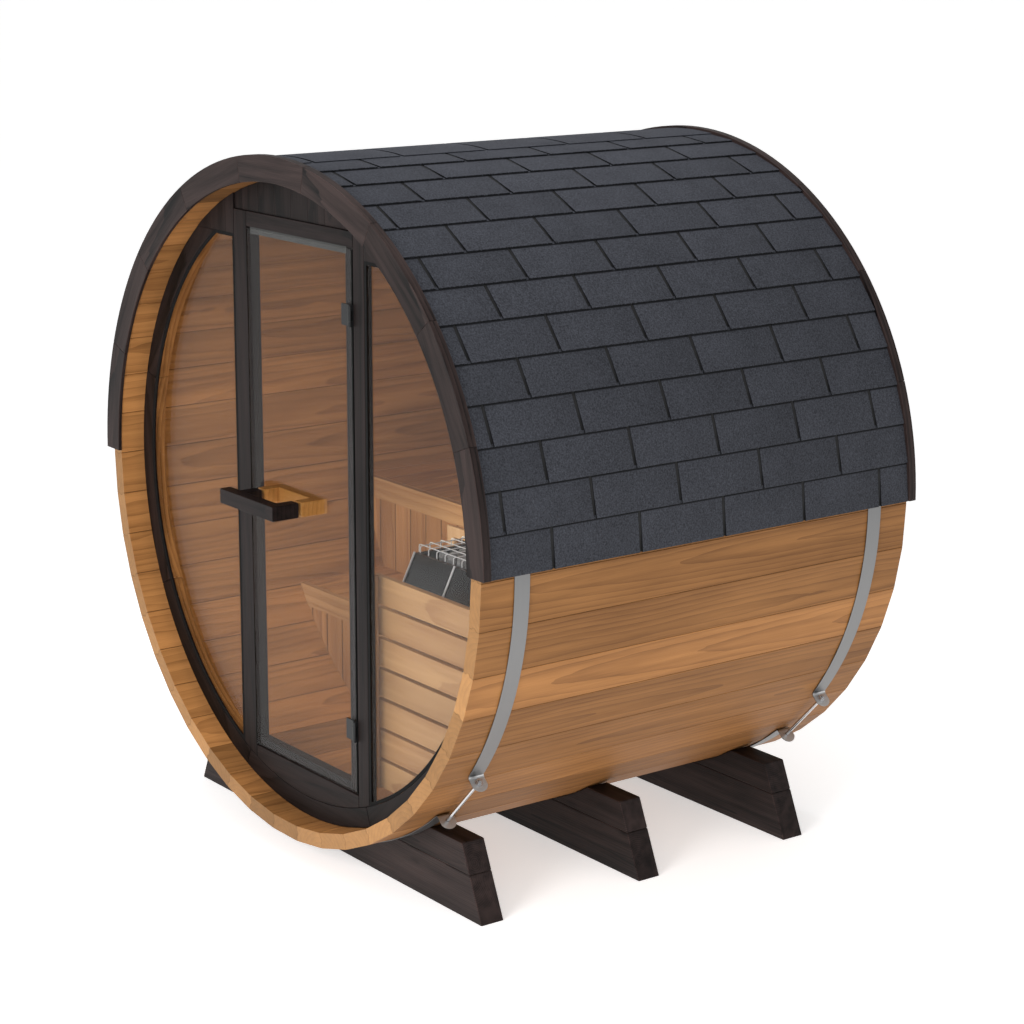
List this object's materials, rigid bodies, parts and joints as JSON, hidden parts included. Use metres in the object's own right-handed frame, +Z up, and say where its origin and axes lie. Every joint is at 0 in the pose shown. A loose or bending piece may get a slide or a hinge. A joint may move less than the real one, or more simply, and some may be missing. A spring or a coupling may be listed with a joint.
{
  "type": "barrel sauna",
  "caption": "Outdoor barrel sauna cabin of wooden staves on cradles, with shingled half roof, glazed front, hinged glass door, benches and fenced heater.",
  "frame": {"origin": "on the ground under the middle of the cabin", "axes": "+Z up, -Y is the glazed front, +X is the right side seen from the front"},
  "size_m": [2.0158, 1.5441, 2.0608],
  "materials": {
    "stave_wood": "satin oiled",
    "bench_wood": "planed",
    "dark_wood": "dark stained",
    "shingle": "mineral granules on bitumen",
    "band_steel": "brushed",
    "bright_steel": "bright",
    "heater_steel": "dark satin",
    "heater_stone": "rough broken",
    "hinge_steel": "dark grey satin",
    "bronze_glass": "bronze tinted"
  },
  "bodies": {
    "cabin": {"staves_bottom": "stave_wood", "staves_lower_right": "stave_wood", "staves_right": "stave_wood", "staves_upper_right": "stave_wood", "staves_top": "stave_wood", "staves_upper_left": "stave_wood", "staves_left": "stave_wood", "staves_lower_left": "stave_wood", "roof_right": "shingle", "roof_left": "shingle", "roof_ridge": "shingle", "front_fascia": "dark_wood", "rear_fascia": "dark_wood", "front_band": "band_steel", "rear_band": "band_steel", "front_tensioners": "bright_steel", "rear_tensioners": "bright_steel", "front_cradle": "dark_wood", "middle_cradle": "dark_wood", "rear_cradle": "dark_wood", "front_ring": "dark_wood", "left_jamb": "dark_wood", "right_jamb": "dark_wood", "lintel": "dark_wood", "sill": "dark_wood", "front_top_infill": "dark_wood", "left_pane": "bronze_glass", "right_pane": "bronze_glass", "rear_wall": "stave_wood", "upper_bench_seat": "bench_wood", "upper_bench_front": "bench_wood", "upper_bench_skirt": "bench_wood", "vent_frame": "bench_wood", "lower_bench_seat": "bench_wood", "lower_bench_front": "bench_wood", "lower_bench_skirt": "bench_wood", "heater_body": "heater_steel", "heater_stones": "heater_stone", "heater_rods": "bright_steel", "heater_grille": "bright_steel", "heater_stand": "heater_steel", "fence_slats": "bench_wood", "fence_posts": "bench_wood", "hinge_brackets": "hinge_steel"},
    "door": {"door_glass": "bronze_glass", "door_hinge_leaves": "hinge_steel", "door_handle_outside": "dark_wood", "door_handle_inside": "bench_wood"}
  },
  "joints": [
    {"name": "door_hinge", "type": "hinge", "parent": "cabin", "child": "door", "pos_m": [0.274, -0.69, 0], "axis": [0, 0, 1], "range_deg": [0, 110]}
  ]
}
